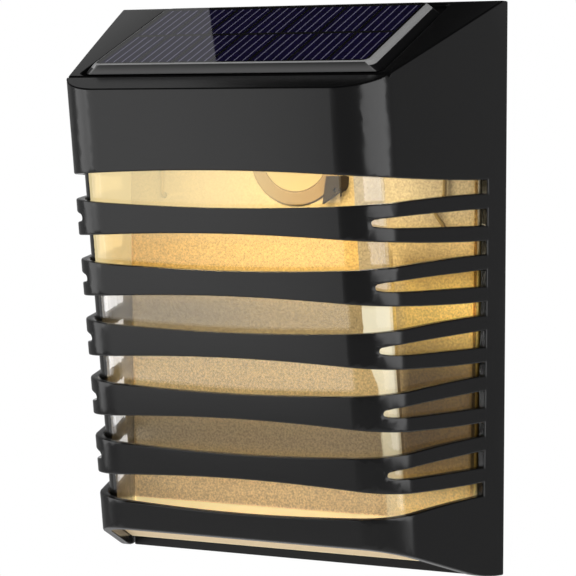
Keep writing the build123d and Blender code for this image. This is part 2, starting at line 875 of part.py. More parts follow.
with BuildPart() as capacitor:
    with BuildSketch(Plane.XY.offset(board_top)):
        with Locations((component_x, -control_middle)):
            Circle(capacitor_radius)
    extrude(amount=capacitor_height)
    fillet(capacitor.edges().group_by(Axis.Z)[-1], capacitor_radius / 4)
keep(capacitor, "capacitor")

# Solar panel: pad, board, cells and clear cover, stacked in the recess
cell_pitch = (panel_width - 2 * panel_border) / cell_columns
row_pitch = (panel_length - 2 * panel_border) / cell_rows

with BuildPart() as panel_pad:
    with BuildSketch(on_slope(-recess_depth)):
        with Locations((0, panel_middle)):
            RectangleRounded(panel_width - 2 * panel_border, panel_length - 2 * panel_border, panel_corner)
        with Locations((0, -panel_lead_run)):
            Circle(panel_hole_radius, mode=Mode.SUBTRACT)
    extrude(amount=pad_thickness)
keep(panel_pad, "panel_pad")

laminate = panel_layer((board_lift, 0), (cells_lift, 0))
with BuildPart() as solar_board:
    add(laminate)
keep(solar_board, "solar_board")

with BuildPart() as solar_cells:
    with BuildSketch(on_slope(cells_lift)):
        with Locations((0, panel_middle)):
            with GridLocations(cell_pitch, row_pitch, cell_columns, cell_rows):
                Rectangle(cell_pitch - cell_gap, row_pitch - row_gap)
    extrude(amount=cell_thickness)
keep(solar_cells, "solar_cells")

resin = panel_layer((cells_lift, 0), (panel_top - cover_edge, 0), (panel_top, cover_edge))
with BuildPart() as solar_cover:
    add(resin)
    add(solar_cells.part, mode=Mode.SUBTRACT)
keep(solar_cover, "solar_cover")


# Leads, as straight runs and arcs inside the housing
def slope_point(x, along, lift):
    """Point on the slope, by its distance along it from the wall and its lift."""
    return on_slope(lift).from_local_coords(Vector(x, -along, 0))


def panel_lead(side):
    """Lead from the panel's board through the roof to the control board."""
    start = slope_point(side * panel_lead_x, panel_lead_run, board_lift)
    inside = slope_point(side * panel_lead_x, panel_lead_run, -panel_lead_drop)
    pad_place = Vector(side * panel_pad_x, -control_middle, board_top)
    return lead(start, inside, pad_place + Vector(0, 0, lead_rise), pad_place)


def battery_lead(side):
    """Lead from a battery contact over the holder to the control board."""
    x = side * (holder_length / 2 - holder_wall - contact_thickness / 2)
    top = cell_z + contact_size / 2
    pad_place = Vector(side * battery_pad_x, -control_middle, board_top)
    return lead(
        (x, -holder_middle, top),
        (x, -holder_middle, top + lead_rise),
        (x, -holder_front - lead_rise, top + lead_rise / 2),
        pad_place + Vector(0, 0, lead_rise),
        pad_place,
    )


def led_lead(side):
    """Lead from the control board down through the tray to the edge of the light board."""
    x = side * led_lead_x
    pad_depth = control_depth + led_pad_inset
    low = tray_z - led_board_thickness / 2
    return lead(
        (x, -pad_depth, board_top),
        (x, -pad_depth, board_top + lead_rise),
        (x, -led_lead_depth, board_top + lead_rise),
        (x, -led_lead_depth, low),
        (x, -led_board_depth - led_board_width / 2, low),
    )


def switch_lead(x, hole_drop, *kinks):
    """Lead from the control board, down in front of the reflector, through it and back to the switch."""
    side = math.copysign(1, x)
    pad_place = Vector(side * switch_pad_x, -control_depth - switch_pad_inset, board_top)
    over = board_top + lead_rise
    return lead(
        pad_place,
        pad_place + Vector(0, 0, lead_rise),
        (x, -control_depth, over),
        (x, -lead_depth, over),
        *[(kink_x, -lead_depth, z_top - drop) for kink_x, drop in kinks],
        (x, -lead_depth, z_top - hole_drop),
        (x, -lead_back_depth, z_top - hole_drop),
        (side * lead_turn_x, -lead_back_depth, switch_z),
        (side * switch_size / 2, -lead_back_depth, switch_z),
    )


for label, wires in (
    ("panel_leads", [panel_lead(-1), panel_lead(1)]),
    ("battery_leads", [battery_lead(-1), battery_lead(1)]),
    ("led_leads", [led_lead(-1), led_lead(1)]),
    ("switch_lead_right", [switch_lead(lead_right_x, lead_right_drop, *lead_right_kinks)]),
    ("switch_lead_left", [switch_lead(lead_left_x, lead_left_drop)]),
):
    with BuildPart() as wiring:
        add(wires)
    keep(wiring, label)
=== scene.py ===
"""Dresses the solar wall light: finishes, softened edges, studio light and camera."""

import json
import math

import bpy
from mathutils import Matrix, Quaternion, Vector

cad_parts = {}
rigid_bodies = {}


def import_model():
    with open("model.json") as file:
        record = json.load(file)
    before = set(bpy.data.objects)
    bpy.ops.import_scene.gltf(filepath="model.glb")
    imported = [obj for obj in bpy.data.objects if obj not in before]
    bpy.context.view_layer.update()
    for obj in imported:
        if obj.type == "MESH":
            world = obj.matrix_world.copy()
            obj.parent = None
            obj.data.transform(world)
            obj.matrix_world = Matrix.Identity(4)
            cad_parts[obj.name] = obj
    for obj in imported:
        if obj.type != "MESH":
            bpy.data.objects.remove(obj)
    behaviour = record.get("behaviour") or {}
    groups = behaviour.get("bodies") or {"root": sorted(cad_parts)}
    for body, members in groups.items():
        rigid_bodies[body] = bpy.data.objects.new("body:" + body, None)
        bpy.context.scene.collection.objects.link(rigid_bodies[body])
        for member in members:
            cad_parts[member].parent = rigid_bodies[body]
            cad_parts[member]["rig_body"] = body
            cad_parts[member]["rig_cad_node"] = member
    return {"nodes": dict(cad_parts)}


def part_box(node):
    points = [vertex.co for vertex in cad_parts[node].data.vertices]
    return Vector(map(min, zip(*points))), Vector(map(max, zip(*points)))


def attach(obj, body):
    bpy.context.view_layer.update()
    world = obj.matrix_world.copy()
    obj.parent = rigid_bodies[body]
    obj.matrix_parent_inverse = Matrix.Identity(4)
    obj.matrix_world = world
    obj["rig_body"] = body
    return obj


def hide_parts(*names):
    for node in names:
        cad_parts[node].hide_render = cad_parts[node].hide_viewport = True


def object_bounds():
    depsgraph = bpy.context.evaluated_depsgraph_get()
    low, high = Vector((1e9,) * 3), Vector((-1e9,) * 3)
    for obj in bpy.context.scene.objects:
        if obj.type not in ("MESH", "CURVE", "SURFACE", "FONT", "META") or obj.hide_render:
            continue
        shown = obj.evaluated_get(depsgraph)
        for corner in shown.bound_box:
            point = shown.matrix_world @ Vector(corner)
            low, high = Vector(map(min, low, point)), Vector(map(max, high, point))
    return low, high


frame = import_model()
cad_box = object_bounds()
cells_low, cells_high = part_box("solar_cells")
leds_low, leds_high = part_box("leds")

bl_info = {
    "name": "Solar wall light",
    "version": (1, 0, 0),
    "blender": (4, 5, 0),
    "location": "View3D > Sidebar > Wall Light",
    "description": "Dresses a louvred solar wall light and its studio",
    "category": "Object",
}

BODY = "housing"
WHITE = (1, 1, 1, 1)

SHARP_ANGLE = 35  # degrees past which an edge of a moulding is rounded
CELL_COLUMNS = 7
CELL_GAP = 0.0009  # between two columns of cells
LED_CLEARANCE = 0.0005  # from the small lamps down to the light that stands for theirs

# Scales of the noise in the finishes
MOULD_GRAIN = 900.0
RESIN_GRAIN = 1400.0
FILM_GRAIN = 1800.0
SILICON_GRAIN = 260.0
SCRATCHES = 700.0
UNEVENNESS = 28.0

GRAIN_DEPTH = 0.0002
UNEVEN_GLOSS = 0.08  # spread of a finish's roughness
MOULD_SHADE = 0.85  # darkest share of a moulding's colour

# Lens: heights and places between which its finishes set in, in metres
TINT_RISE = (-0.002, 0.008)  # painted lamplight tint near the lamps
GLOW_RISE = (0.013, 0.023)  # painted glow under the lamps
GLOW_REACH = (0.028, -0.006)  # that painted glow, from the right to the middle
LEFT_END = (-0.030, -0.038)  # painted glow of the left end
FLARE_TOP = (-0.002, 0.001)  # end of the corner's flare
FLARE_RISE = (-0.06, 0.0)  # flare from weak to strong
FLARE_LEVEL = (0.12, 0.5)  # weak and strong
FLARE_NARROWING = (-0.022, -0.012)  # flare from narrow to as wide as the corner
FLOOR_SKIN = 0.0008  # what still counts as floor above the floor's lower face

# How far faces of the lens look sideways, from 0 at its front to 1 at its side
CORNER_FACING = (0.34, 0.92)  # rounded corner
NARROW_FACING = 0.6  # start of the flare where it is narrow

EDGE_ON = 0.58  # turn away from the view, from 0 to 1, past which the lens has its painted dark outline

# How far faces of the panel look along its front or its upper side, to count as such
PANEL_FRONT = 0.9
PANEL_TOP = 0.95

# Reflector film: heights and places between which its tones change, in metres
TOP_RISE = (0.014, 0.022)  # painted light of the upper end
LAMP_SHADE_RISE = (0.004, 0.022)  # painted shade, dimmer towards the lamps
RIGHT_LIGHT_REACH = (0.036, 0.046)  # painted light, brighter towards the right end
WARM_RISE = (-0.035, -0.027)  # painted shade of the hollows, warmer towards the upper right, from below
WARM_REACH = (-0.03, 0.005)  # that warmer painted shade, from the left
CREST_BLEND = 0.004  # each side of the uppermost crest
FOLD_BLEND = 0.006
FOOT_BLEND = (0.004, 0.012)  # painted light of the lower end, above the film's foot
EDGE_BLEND = 0.001  # painted glow of the lower edge, above the film's foot

# Reflector film: levels
SPARKLE = (1.5, 0.25)  # gain and least brightness
# Share of the colour kept by the painted shade near the lamps
LAMP_SHADE_LEVEL = 0.52
# Gain of the painted light at the right end
RIGHT_LIGHT_LEVEL = 1.3
FOLD_SHARPNESS = 3.0
# Emission strengths of the painted glow on the fold and the lower edge
FOLD_SHINE = 0.25
EDGE_SHINE = 0.45

# Studio: brightness of what rays meet that the camera doesn't send
FILL = 0.5
LENS_SURROUND = 0.06
MIRRORED_ROOM = (0.25, 0.01)  # below and above
CEILING = (0.2, 0.5)  # steepness between which the room turns dark
BACKDROP = (0.955, 0.985)  # closeness to the camera's direction between which the room turns white
FLOOR_FADE = (0.3, 0.95)  # shares of the floor's radius
FLOOR_GREY = (0.82, 0.82, 0.82, 1)
FLOOR_SHINE = 0.3


class WallLightFinish(bpy.types.PropertyGroup):
    """Colours and fine sizes of the light's pieces."""

    charcoal: bpy.props.FloatVectorProperty(
        name="Charcoal plastic", description="Colour of the moulded housing",
        subtype="COLOR", size=4, min=0, max=1, default=(0.004, 0.004, 0.0042, 1),
    )
    cover_black: bpy.props.FloatVectorProperty(
        name="Cover plastic", description="Colour of the back cover and inner mouldings",
        subtype="COLOR", size=4, min=0, max=1, default=(0.009, 0.009, 0.0095, 1),
    )
    gold: bpy.props.FloatVectorProperty(
        name="Reflector gold", description="Colour of the metallised film behind the lens",
        subtype="COLOR", size=4, min=0, max=1, default=(0.66, 0.485, 0.22, 1),
    )
    # Painted shade: the film's gold darkened in the hollows between its ripples
    hollow_shade_gold: bpy.props.FloatVectorProperty(
        name="Pale gold", description="Colour of the film in the hollows between its ripples",
        subtype="COLOR", size=4, min=0, max=1, default=(0.27, 0.212, 0.12, 1),
    )
    # Painted shade of the upper hollow, warmer and less dark towards the right
    warm_hollow_shade: bpy.props.FloatVectorProperty(
        name="Warm gold", description="Colour of the film's upper hollow towards the right",
        subtype="COLOR", size=4, min=0, max=1, default=(0.36, 0.265, 0.12, 1),
    )
    # Painted light: a paler gold near the film's upper and lower edges
    painted_end_light: bpy.props.FloatVectorProperty(
        name="End gold", description="Colour of the film near its upper and lower edges",
        subtype="COLOR", size=4, min=0, max=1, default=(0.80, 0.66, 0.42, 1),
    )
    bronze: bpy.props.FloatVectorProperty(
        name="Bronze", description="Colour of the film's fold on the right",
        subtype="COLOR", size=4, min=0, max=1, default=(0.81, 0.55, 0.14, 1),
    )
    # Painted shade of the fold's hollows
    fold_hollow_shade: bpy.props.FloatVectorProperty(
        name="Dark bronze", description="Colour of the fold in the hollows between its ripples",
        subtype="COLOR", size=4, min=0, max=1, default=(0.11, 0.065, 0.012, 1),
    )
    ripple: bpy.props.FloatProperty(
        name="Ripple", description="Height of one broad ripple of the film",
        unit="LENGTH", min=0, default=0.0336, precision=5,
    )
    crest_height: bpy.props.FloatProperty(
        name="Ripple crest", description="Height of the uppermost crest of the film's broad ripples",
        unit="LENGTH", default=0.0093, precision=5,
    )
    fold_start: bpy.props.FloatProperty(
        name="Fold start", description="Place, from the middle, where the film's fold begins on the right",
        unit="LENGTH", default=0.026, precision=5,
    )
    fold_crest: bpy.props.FloatProperty(
        name="Fold crest", description="Height of a crest of the fold's ripples",
        unit="LENGTH", default=-0.005, precision=5,
    )
    fold_ripple: bpy.props.FloatProperty(
        name="Fold ripple", description="Height of one ripple of the film's fold",
        unit="LENGTH", min=0, default=0.055, precision=5,
    )
    # Painted glow: the film's lower edge glows up to this height
    film_foot: bpy.props.FloatProperty(
        name="Film foot", description="Height up to which the film's lower edge is bright",
        unit="LENGTH", default=-0.0605, precision=5,
    )
    # Painted lamplight: tints of the lens that fade out away from the lamps
    painted_lamp_tint: bpy.props.FloatVectorProperty(
        name="Amber tint", description="Tint of the lens near the lamps; it fades out downwards",
        subtype="COLOR", size=4, min=0, max=1, default=(1.0, 0.86, 0.58, 1),
    )
    painted_corner_tint: bpy.props.FloatVectorProperty(
        name="Corner tint", description="Tint of the lens's right corner near the lamps",
        subtype="COLOR", size=4, min=0, max=1, default=(0.63, 0.66, 0.80, 1),
    )
    painted_side_tint: bpy.props.FloatVectorProperty(
        name="Side tint", description="Tint of the lens's right side near the lamps",
        subtype="COLOR", size=4, min=0, max=1, default=(1.0, 0.96, 0.87, 1),
    )
    # Painted glow colour of the lens near the lamps, also given off by the film's fold and lower edge
    painted_glow: bpy.props.FloatVectorProperty(
        name="Haze", description="Light that the lens scatters near the lamps",
        subtype="COLOR", size=4, min=0, max=1, default=(0.95, 0.81, 0.48, 1),
    )
    # Share of the painted glow near the lamps
    glow_share: bpy.props.FloatProperty(
        name="Haze share", description="How much of the lens's clearness the haze takes near the lamps",
        subtype="FACTOR", min=0, max=1, default=0.35,
    )
    # Painted light: the flare is emission down the lens's right corner
    flare: bpy.props.FloatVectorProperty(
        name="Flare", description="Colour of the light down the lens's right corner",
        subtype="COLOR", size=4, min=0, max=1, default=(1.0, 1.0, 0.85, 1),
    )
    # Painted glow of the lens's floor
    glow: bpy.props.FloatVectorProperty(
        name="Lens floor", description="Colour of the lens's frosted floor, which carries the lamps' light",
        subtype="COLOR", size=4, min=0, max=1, default=(0.85, 0.64, 0.37, 1),
    )
    rim_angle: bpy.props.FloatProperty(
        name="Rim angle", description="Slope of the lens's floor",
        subtype="ANGLE", min=0, default=math.radians(19.4),
    )
    silicon: bpy.props.FloatVectorProperty(
        name="Cell blue", description="Colour of the solar cells",
        subtype="COLOR", size=4, min=0, max=1, default=(0.006, 0.003, 0.04, 1),
    )
    line_grey: bpy.props.FloatVectorProperty(
        name="Cell lines", description="Colour of the fine lines printed on the cells",
        subtype="COLOR", size=4, min=0, max=1, default=(0.24, 0.23, 0.34, 1),
    )
    laminate: bpy.props.FloatVectorProperty(
        name="Panel board", description="Colour of the board under the cells",
        subtype="COLOR", size=4, min=0, max=1, default=(0.006, 0.006, 0.0065, 1),
    )
    frost: bpy.props.FloatVectorProperty(
        name="Frosted resin", description="Colour of the leaning sides of the panel's resin",
        subtype="COLOR", size=4, min=0, max=1, default=(0.40, 0.40, 0.40, 1),
    )
    column_pitch: bpy.props.FloatProperty(
        name="Column pitch", description="Distance between columns of cells",
        unit="LENGTH", min=0, precision=5,
        default=(cells_high.x - cells_low.x + CELL_GAP) / CELL_COLUMNS,
    )
    line_pitch: bpy.props.FloatProperty(
        name="Line pitch", description="Distance between the lines of one cell",
        unit="LENGTH", min=0, default=0.0024, precision=5,
    )
    line_width: bpy.props.FloatProperty(
        name="Line width", description="Width of a printed line",
        unit="LENGTH", min=0, default=0.0003, precision=5,
    )
    cell_lift: bpy.props.FloatProperty(
        name="Cell lift", description="Rise of the cells' faces off the resin that lies on them",
        unit="LENGTH", min=0, default=0.00004, precision=6,
    )
    boss_tan: bpy.props.FloatVectorProperty(
        name="Boss end", description="Colour of the switch boss's end, which shows through the lens",
        subtype="COLOR", size=4, min=0, max=1, default=(0.19, 0.135, 0.07, 1),
    )
    edge_radius: bpy.props.FloatProperty(
        name="Edge radius", description="Rounding of the housing's moulded edges",
        unit="LENGTH", min=0, default=0.0004, precision=5,
    )
    cover_radius: bpy.props.FloatProperty(
        name="Cover edge radius", description="Rounding of the back cover's edges",
        unit="LENGTH", min=0, default=0.0003, precision=5,
    )


class WallLightStage(bpy.types.PropertyGroup):
    """Camera and studio settings."""

    eye: bpy.props.FloatVectorProperty(
        name="Camera place", description="Where the camera stands",
        subtype="TRANSLATION", unit="LENGTH", size=3, default=(0.23248, -0.53153, 0.04334),
    )
    aim: bpy.props.FloatVectorProperty(
        name="Camera aim", description="Point that the camera looks at",
        subtype="TRANSLATION", unit="LENGTH", size=3, default=(0.00496, -0.025, 0.00093),
    )
    focal_length: bpy.props.FloatProperty(
        name="Focal length", description="Lens of the camera, in millimetres",
        unit="CAMERA", min=1, default=134.1,
    )
    floor_drop: bpy.props.FloatProperty(
        name="Floor drop", description="Floor below the light, which hangs on a wall",
        unit="LENGTH", min=0, default=0.45,
    )
    floor_radius: bpy.props.FloatProperty(
        name="Floor radius", description="Reach of the floor, which fades out into the white studio",
        unit="LENGTH", min=0, default=1.4,
    )


def settings():
    """The scene's finish and stage settings."""
    return bpy.context.scene.wall_light_finish, bpy.context.scene.wall_light_stage


# Meshes


def deselect():
    bpy.ops.object.select_all(action="DESELECT")


def shade(piece, angle):
    """Smooth shading with sharp edges past an angle in degrees."""
    deselect()
    piece.select_set(True)
    bpy.context.view_layer.objects.active = piece
    bpy.ops.object.shade_smooth_by_angle(angle=math.radians(angle))


def merged_copy(cad_name, name):
    """Copy of a CAD node with its doubles merged, left selected and active."""
    source = frame["nodes"][cad_name]
    deselect()
    source.select_set(True)
    bpy.context.view_layer.objects.active = source
    bpy.ops.object.duplicate()
    piece = bpy.context.active_object
    piece.name = name
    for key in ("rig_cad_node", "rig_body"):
        del piece[key]
    bpy.ops.object.mode_set(mode="EDIT")
    bpy.ops.mesh.select_all(action="SELECT")
    bpy.ops.mesh.remove_doubles(threshold=1e-6)
    bpy.ops.object.mode_set(mode="OBJECT")
    return piece


def stand_in(piece, cad_name):
    """Puts a finished piece on the housing in place of a CAD node."""
    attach(piece, BODY)
    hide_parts(cad_name)
    return piece


def softened_copy(cad_name, name, radius):
    """Copy of a CAD node with its sharp edges rounded."""
    piece = merged_copy(cad_name, name)
    bpy.ops.object.mode_set(mode="EDIT")
    bpy.ops.mesh.dissolve_limited(angle_limit=math.radians(0.25))
    bpy.ops.object.mode_set(mode="OBJECT")
    edge = piece.modifiers.new("soft_edge", "BEVEL")
    edge.width = radius
    edge.segments = 2
    edge.limit_method = "ANGLE"
    edge.angle_limit = math.radians(SHARP_ANGLE)
    edge.use_clamp_overlap = False
    bpy.ops.object.modifier_apply(modifier=edge.name)
    shade(piece, SHARP_ANGLE)
    even = piece.modifiers.new("even_normals", "WEIGHTED_NORMAL")
    even.keep_sharp = True
    bpy.ops.object.modifier_apply(modifier=even.name)
    return stand_in(piece, cad_name)


def raised_copy(cad_name, name, lift):
    """Copy of a flat CAD node raised square to its upper face; gives back the copy and that direction."""
    piece = merged_copy(cad_name, name)
    upper = max((face for face in piece.data.polygons if face.normal.z > 0), key=lambda face: face.area)
    normal = upper.normal.copy()
    bpy.ops.object.mode_set(mode="EDIT")
    bpy.ops.transform.translate(value=normal * lift)
    bpy.ops.object.mode_set(mode="OBJECT")
    return stand_in(piece, cad_name), normal


# Materials


def new_material(name):
    """Adds a material; gives back it, its empty node tree and the socket of its surface."""
    material = bpy.data.materials.new(name)
    material.use_nodes = True
    tree = material.node_tree
    tree.nodes.clear()
    return material, tree, tree.nodes.new("ShaderNodeOutputMaterial").inputs["Surface"]


def node(tree, kind, **values):
    """Adds a node; values set its inputs by name, or its own settings where no input has that name."""
    made = tree.nodes.new(kind)
    for key, value in values.items():
        label = key.replace("_", " ")
        match = [socket for socket in made.inputs if socket.name.lower() == label]
        if match:
            match[0].default_value = value
        else:
            setattr(made, key, value)
    return made


def principled(tree, **values):
    """Adds a shader with its inputs set by name."""
    return node(tree, "ShaderNodeBsdfPrincipled", **values)


def dress(piece, material):
    """Gives a piece one material in a single slot."""
    piece.data.materials.clear()
    piece.data.materials.append(material)


def math_node(tree, operation, *values):
    """Adds a Math node and gives back its result; each value is a number or a socket."""
    made = node(tree, "ShaderNodeMath", operation=operation)
    for socket, value in zip(made.inputs, values):
        if isinstance(value, (int, float)):
            socket.default_value = value
        else:
            tree.links.new(value, socket)
    return made.outputs["Value"]


def product(tree, first, second):
    """Product of two values, each a number or a socket."""
    return math_node(tree, "MULTIPLY", first, second)


def dot(tree, vector, direction):
    """Length of a vector along a direction."""
    made = node(tree, "ShaderNodeVectorMath", operation="DOT_PRODUCT")
    made.inputs[1].default_value = direction
    tree.links.new(vector, made.inputs[0])
    return made.outputs["Value"]


def ramp(tree, value, low, high, bottom=0.0, top=1.0):
    """Smooth step of a value from low to high."""
    made = node(
        tree, "ShaderNodeMapRange", interpolation_type="SMOOTHSTEP",
        from_min=low, from_max=high, to_min=bottom, to_max=top,
    )
    tree.links.new(value, made.inputs["Value"])
    return made.outputs["Result"]


def seen_rays(tree, *kinds):
    """1 for rays of the given kinds, 0 for others."""
    rays = node(tree, "ShaderNodeLightPath")
    seen = rays.outputs[kinds[0]]
    for kind in kinds[1:]:
        seen = math_node(tree, "MAXIMUM", seen, rays.outputs[kind])
    return seen


def dimmed(colour, share):
    """Darker shade of a colour."""
    return [channel * share for channel in colour[:3]] + [1]


def mixed_colour(tree, factor, low, high):
    """Adds a colour mix and gives back its result; each colour is written out or a socket."""
    made = node(tree, "ShaderNodeMix", data_type="RGBA")
    tree.links.new(factor, made.inputs[0])
    for socket, value in zip(made.inputs[6:8], (low, high)):
        if isinstance(value, bpy.types.NodeSocket):
            tree.links.new(value, socket)
        else:
            socket.default_value = value
    return made.outputs[2]


def mottled(tree, grain, colour, share):
    """Colour that its grain darkens, at most down to a share of it."""
    return mixed_colour(tree, grain, dimmed(colour, share), colour)


def joined(tree, factor, first, second):
    """Mixes two shaders by a factor."""
    mix = node(tree, "ShaderNodeMixShader")
    tree.links.new(factor, mix.inputs["Fac"])
    tree.links.new(first, mix.inputs[1])
    tree.links.new(second, mix.inputs[2])
    return mix.outputs["Shader"]


def object_place(tree):
    """Object coordinates, whole and split into X, Y and Z."""
    place = node(tree, "ShaderNodeTexCoord")
    split = node(tree, "ShaderNodeSeparateXYZ")
    tree.links.new(place.outputs["Object"], split.inputs["Vector"])
    return place.outputs["Object"], split.outputs


def face_along(tree, direction):
    """How far a face looks along a direction, from 0 to 1, seen from either side."""
    face = node(tree, "ShaderNodeNewGeometry")
    return math_node(tree, "ABSOLUTE", dot(tree, face.outputs["Normal"], direction))


def noise(tree, scale, detail):
    """Noise on object coordinates."""
    place, _ = object_place(tree)
    made = node(tree, "ShaderNodeTexNoise", scale=scale, detail=detail)
    tree.links.new(place, made.inputs["Vector"])
    return made.outputs["Fac"]


def roughen(tree, shader, relief, depth):
    """Gives a shader a shallow relief."""
    bump = node(tree, "ShaderNodeBump", strength=depth, distance=GRAIN_DEPTH)
    tree.links.new(relief, bump.inputs["Height"])
    tree.links.new(bump.outputs["Normal"], shader.inputs["Normal"])


def grained(tree, shader, roughness, grain, depth):
    """Gives a shader a fine moulded grain and a slightly uneven gloss; gives back the grain."""
    fine = noise(tree, grain, 3.0)
    broad = noise(tree, UNEVENNESS, 2.0)
    gloss = math_node(tree, "MULTIPLY_ADD", broad, UNEVEN_GLOSS, roughness - UNEVEN_GLOSS / 2)
    tree.links.new(gloss, shader.inputs["Roughness"])
    roughen(tree, shader, fine, depth)
    return fine


def moulded_plastic(name, colour, roughness, specular=0.25):
    """Moulded plastic with a fine spark-eroded grain and slight unevenness of colour."""
    material, tree, surface = new_material(name)
    shader = principled(tree, specular_ior_level=specular)
    fine = grained(tree, shader, roughness, MOULD_GRAIN, 0.02)
    tree.links.new(mottled(tree, fine, colour, MOULD_SHADE), shader.inputs["Base Color"])
    tree.links.new(shader.outputs["BSDF"], surface)
    return material


def two_tone_plastic(name, colour, end_colour, end_y):
    """Moulded plastic with another colour on what stands in front of end_y."""
    material, tree, surface = new_material(name)
    shader = principled(tree, specular_ior_level=0.25)
    fine = grained(tree, shader, 0.42, MOULD_GRAIN, 0.02)
    _, axes = object_place(tree)
    front = math_node(tree, "LESS_THAN", axes["Y"], end_y)
    plain = mottled(tree, fine, colour, MOULD_SHADE)
    tree.links.new(mixed_colour(tree, front, plain, end_colour), shader.inputs["Base Color"])
    tree.links.new(shader.outputs["BSDF"], surface)
    return material


def clear_shader(tree, roughness, one_sided=False):
    """Clear polished plastic that lets the lamps' light straight through.

    A one-sided face bends light only on its way in, for resin that lies close on what it covers.
    """
    glass = principled(tree, base_color=WHITE, roughness=roughness, ior=1.49, transmission_weight=1.0)
    straight_on = seen_rays(tree, "Is Shadow Ray")
    if one_sided:
        side = node(tree, "ShaderNodeNewGeometry")
        straight_on = math_node(tree, "MAXIMUM", straight_on, side.outputs["Backfacing"])
    straight = node(tree, "ShaderNodeBsdfTransparent")
    return glass, straight, joined(tree, straight_on, glass.outputs["BSDF"], straight.outputs["BSDF"])


def dark_outline(tree, place, inside):
    """Darkens a clear shader with painted shade on outer faces that are seen nearly edge-on."""
    view = node(tree, "ShaderNodeLayerWeight", blend=0.5)
    edge_on = math_node(tree, "GREATER_THAN", view.outputs["Facing"], EDGE_ON)
    face = node(tree, "ShaderNodeNewGeometry")
    outward = node(tree, "ShaderNodeVectorMath", operation="MULTIPLY")
    tree.links.new(face.outputs["Normal"], outward.inputs[0])
    tree.links.new(place, outward.inputs[1])
    parted = node(tree, "ShaderNodeSeparateXYZ")
    tree.links.new(outward.outputs["Vector"], parted.inputs["Vector"])
    outside = math_node(tree, "GREATER_THAN", parted.outputs["X"], 0.0)
    painted_edge_shade = principled(tree, base_color=(0.005, 0.005, 0.004, 1), roughness=0.1)
    return joined(tree, product(tree, edge_on, outside), inside, painted_edge_shade.outputs["BSDF"])


def frosted_floor(tree, finish):
    """Frosted plastic of the lens's floor, with a painted glow for the lamps' light that it carries."""
    frost = principled(tree, emission_strength=0.15)
    fine = grained(tree, frost, 0.5, MOULD_GRAIN, 0.1)
    warm = mottled(tree, fine, finish.glow, 0.8)
    tree.links.new(warm, frost.inputs["Base Color"])
    tree.links.new(warm, frost.inputs["Emission Color"])
    return frost.outputs["BSDF"]


def tinted_lens(name, finish, low, high):
    """Clear lens with painted lamplight: an amber tint and a painted glow near the lamps, a painted flare
    round its right corner, a painted dark outline, and a frosted floor with a painted glow.
    """
    material, tree, surface = new_material(name)
    place, axes = object_place(tree)

    # Right corner and right side
    front_end, side_end = CORNER_FACING
    sideways = face_along(tree, (1, 0, 0))
    rounded = math_node(tree, "COMPARE", sideways, (front_end + side_end) / 2, (side_end - front_end) / 2)
    on_right = math_node(tree, "GREATER_THAN", axes["X"], 0.0)
    on_corner = product(tree, on_right, rounded)
    on_side = product(tree, on_right, math_node(tree, "GREATER_THAN", sideways, side_end))

    # Painted lamplight: tint near the lamps, another on the right corner and side
    near_lamps = ramp(tree, axes["Z"], *TINT_RISE)
    painted_lamp_tint = mixed_colour(tree, on_corner, finish.painted_lamp_tint, finish.painted_corner_tint)
    painted_lamp_tint = mixed_colour(tree, on_side, painted_lamp_tint, finish.painted_side_tint)
    tint = mixed_colour(tree, near_lamps, WHITE, painted_lamp_tint)
    glass, straight, clear = clear_shader(tree, 0.0)
    tree.links.new(tint, glass.inputs["Base Color"])
    tree.links.new(tint, straight.inputs["Color"])

    # Painted glow under the lamps and at the left end, where the lens would scatter their light
    painted_glow = product(
        tree, ramp(tree, axes["Z"], *GLOW_RISE, 0.0, finish.glow_share), ramp(tree, axes["X"], *GLOW_REACH)
    )
    left_end = product(tree, near_lamps, ramp(tree, axes["X"], *LEFT_END))
    painted_glow = math_node(tree, "MAXIMUM", painted_glow, product(tree, left_end, finish.glow_share))

    # Painted flare glow of the corner, narrower and weaker downwards
    start = ramp(tree, axes["Z"], *FLARE_NARROWING, NARROW_FACING, front_end)
    flare = product(tree, on_corner, math_node(tree, "GREATER_THAN", sideways, start))
    flare = product(tree, flare, ramp(tree, axes["Z"], *FLARE_TOP, 1.0, 0.0))
    flare = product(tree, flare, ramp(tree, axes["Z"], *FLARE_RISE, *FLARE_LEVEL))

    lit = node(tree, "ShaderNodeEmission", strength=1.0)
    tree.links.new(mixed_colour(tree, flare, finish.painted_glow, finish.flare), lit.inputs["Color"])
    glowing_lens = joined(tree, math_node(tree, "MAXIMUM", painted_glow, flare), clear, lit.outputs["Emission"])
    walls = dark_outline(tree, place, glowing_lens)

    rise = math.tan(finish.rim_angle)
    above = math_node(tree, "MULTIPLY_ADD", axes["Y"], rise, axes["Z"])
    on_floor = math_node(tree, "LESS_THAN", above, low.z + rise * high.y + FLOOR_SKIN)
    tree.links.new(joined(tree, on_floor, walls, frosted_floor(tree, finish)), surface)
    return material


